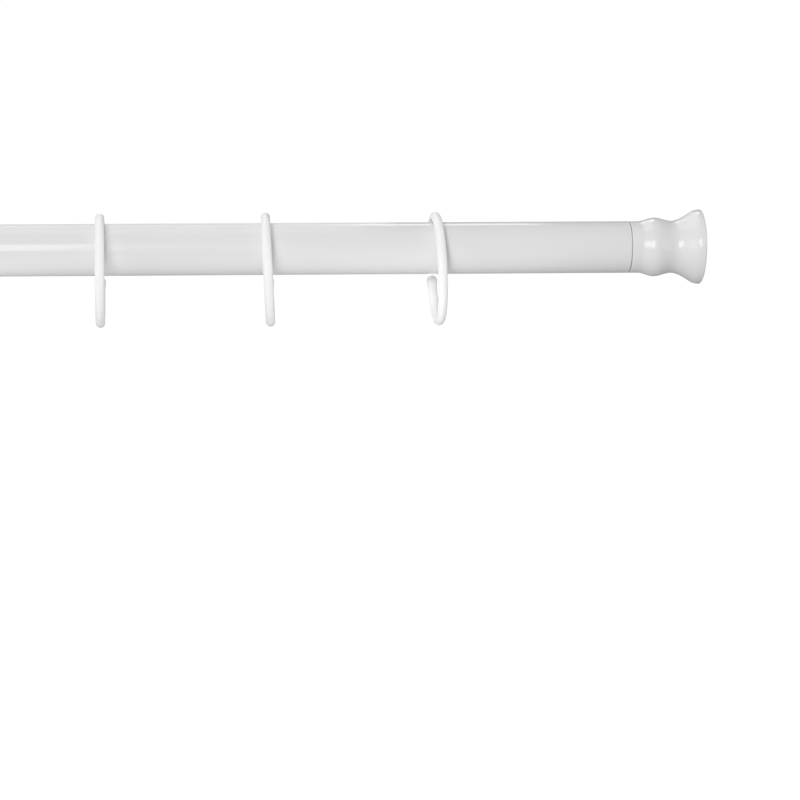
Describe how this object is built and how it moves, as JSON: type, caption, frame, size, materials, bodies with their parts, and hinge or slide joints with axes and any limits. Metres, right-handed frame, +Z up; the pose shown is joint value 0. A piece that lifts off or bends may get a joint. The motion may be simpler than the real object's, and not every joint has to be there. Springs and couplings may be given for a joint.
{
  "type": "tension curtain rod",
  "caption": "Telescoping spring-tension curtain rod: white tube, moulded flared wall feet, twist-to-lock cam and spring inside, and open ball-ended rings that slide along it.",
  "frame": {"origin": "centre of the right foot's wall face, on the rod's axis", "axes": "+X along the rod towards the right-hand wall, +Y away from the room towards the back, +Z up"},
  "size_m": [1.2781, 0.0553, 0.0564],
  "materials": {
    "white_enamel": "glossy white enamel on rolled steel tube",
    "white_gloss_plastic": "glossy injection-moulded white plastic",
    "white_satin_plastic": "satin moulded white plastic",
    "white_rubber": "matt white rubber",
    "natural_nylon": "natural nylon",
    "grey_nylon": "grey nylon",
    "spring_steel": "drawn spring wire",
    "zinc_plate": "bright zinc-plated steel"
  },
  "bodies": {
    "outer": {"outer_tube": "white_enamel", "mouth_collar": "white_gloss_plastic", "right_foot": "white_gloss_plastic", "right_foot_pad": "white_rubber"},
    "lock_ring": {"cam_ring": "grey_nylon"},
    "lock_spindle": {"cam_spindle": "natural_nylon", "rod_pin": "zinc_plate", "guide_rod": "zinc_plate", "stop_washer": "zinc_plate", "stop_nut": "zinc_plate", "lock_washer": "zinc_plate", "lock_screw": "zinc_plate", "compression_spring": "spring_steel"},
    "inner": {"inner_tube": "white_enamel", "left_foot": "white_gloss_plastic", "left_foot_pad": "white_rubber", "spring_seat": "natural_nylon"},
    "ring_01": {"curtain_ring_01": "white_satin_plastic"},
    "ring_02": {"curtain_ring_02": "white_satin_plastic"},
    "ring_03": {"curtain_ring_03": "white_satin_plastic"},
    "ring_04": {"curtain_ring_04": "white_satin_plastic"},
    "ring_05": {"curtain_ring_05": "white_satin_plastic"},
    "ring_06": {"curtain_ring_06": "white_satin_plastic"},
    "ring_07": {"curtain_ring_07": "white_satin_plastic"},
    "ring_08": {"curtain_ring_08": "white_satin_plastic"},
    "ring_09": {"curtain_ring_09": "white_satin_plastic"},
    "ring_10": {"curtain_ring_10": "white_satin_plastic"},
    "ring_11": {"curtain_ring_11": "white_satin_plastic"},
    "ring_12": {"curtain_ring_12": "white_satin_plastic"}
  },
  "joints": [
    {"name": "length_slide", "type": "slide", "parent": "outer", "child": "lock_ring", "axis": [1, 0, 0], "range_m": [-0.7, 0.075]},
    {"name": "twist_lock", "type": "hinge", "parent": "lock_ring", "child": "lock_spindle", "pos_m": [-0.2732, 0, 0.00045], "axis": [1, 0, 0], "range_deg": [0, 90]},
    {"name": "spring_travel", "type": "slide", "parent": "lock_spindle", "child": "inner", "axis": [1, 0, 0], "range_m": [0, 0.03], "stiffness_N_per_m": 2000, "springref_m": -0.03, "deforming": ["compression_spring"]},
    {"name": "ring_01_slide", "type": "slide", "parent": "outer", "child": "ring_01", "axis": [1, 0, 0], "range_m": [-0.066, 0.066]},
    {"name": "ring_02_slide", "type": "slide", "parent": "outer", "child": "ring_02", "axis": [1, 0, 0], "range_m": [-0.066, 0.066]},
    {"name": "ring_03_slide", "type": "slide", "parent": "outer", "child": "ring_03", "axis": [1, 0, 0], "range_m": [-0.066, 0.066]},
    {"name": "ring_04_slide", "type": "slide", "parent": "outer", "child": "ring_04", "axis": [1, 0, 0], "range_m": [-0.066, 0.066]},
    {"name": "ring_05_slide", "type": "slide", "parent": "outer", "child": "ring_05", "axis": [1, 0, 0], "range_m": [-0.066, 0.066]},
    {"name": "ring_06_slide", "type": "slide", "parent": "outer", "child": "ring_06", "axis": [1, 0, 0], "range_m": [-0.066, 0.066]},
    {"name": "ring_07_slide", "type": "slide", "parent": "outer", "child": "ring_07", "axis": [1, 0, 0], "range_m": [-0.066, 0.066]},
    {"name": "ring_08_slide", "type": "slide", "parent": "outer", "child": "ring_08", "axis": [1, 0, 0], "range_m": [-0.066, 0.066]},
    {"name": "ring_09_slide", "type": "slide", "parent": "outer", "child": "ring_09", "axis": [1, 0, 0], "range_m": [-0.066, 0.066]},
    {"name": "ring_10_slide", "type": "slide", "parent": "outer", "child": "ring_10", "axis": [1, 0, 0], "range_m": [-0.066, 0.066]},
    {"name": "ring_11_slide", "type": "slide", "parent": "outer", "child": "ring_11", "axis": [1, 0, 0], "range_m": [-0.066, 0.066]},
    {"name": "ring_12_slide", "type": "slide", "parent": "outer", "child": "ring_12", "axis": [1, 0, 0], "range_m": [-0.066, 0.066]}
  ]
}
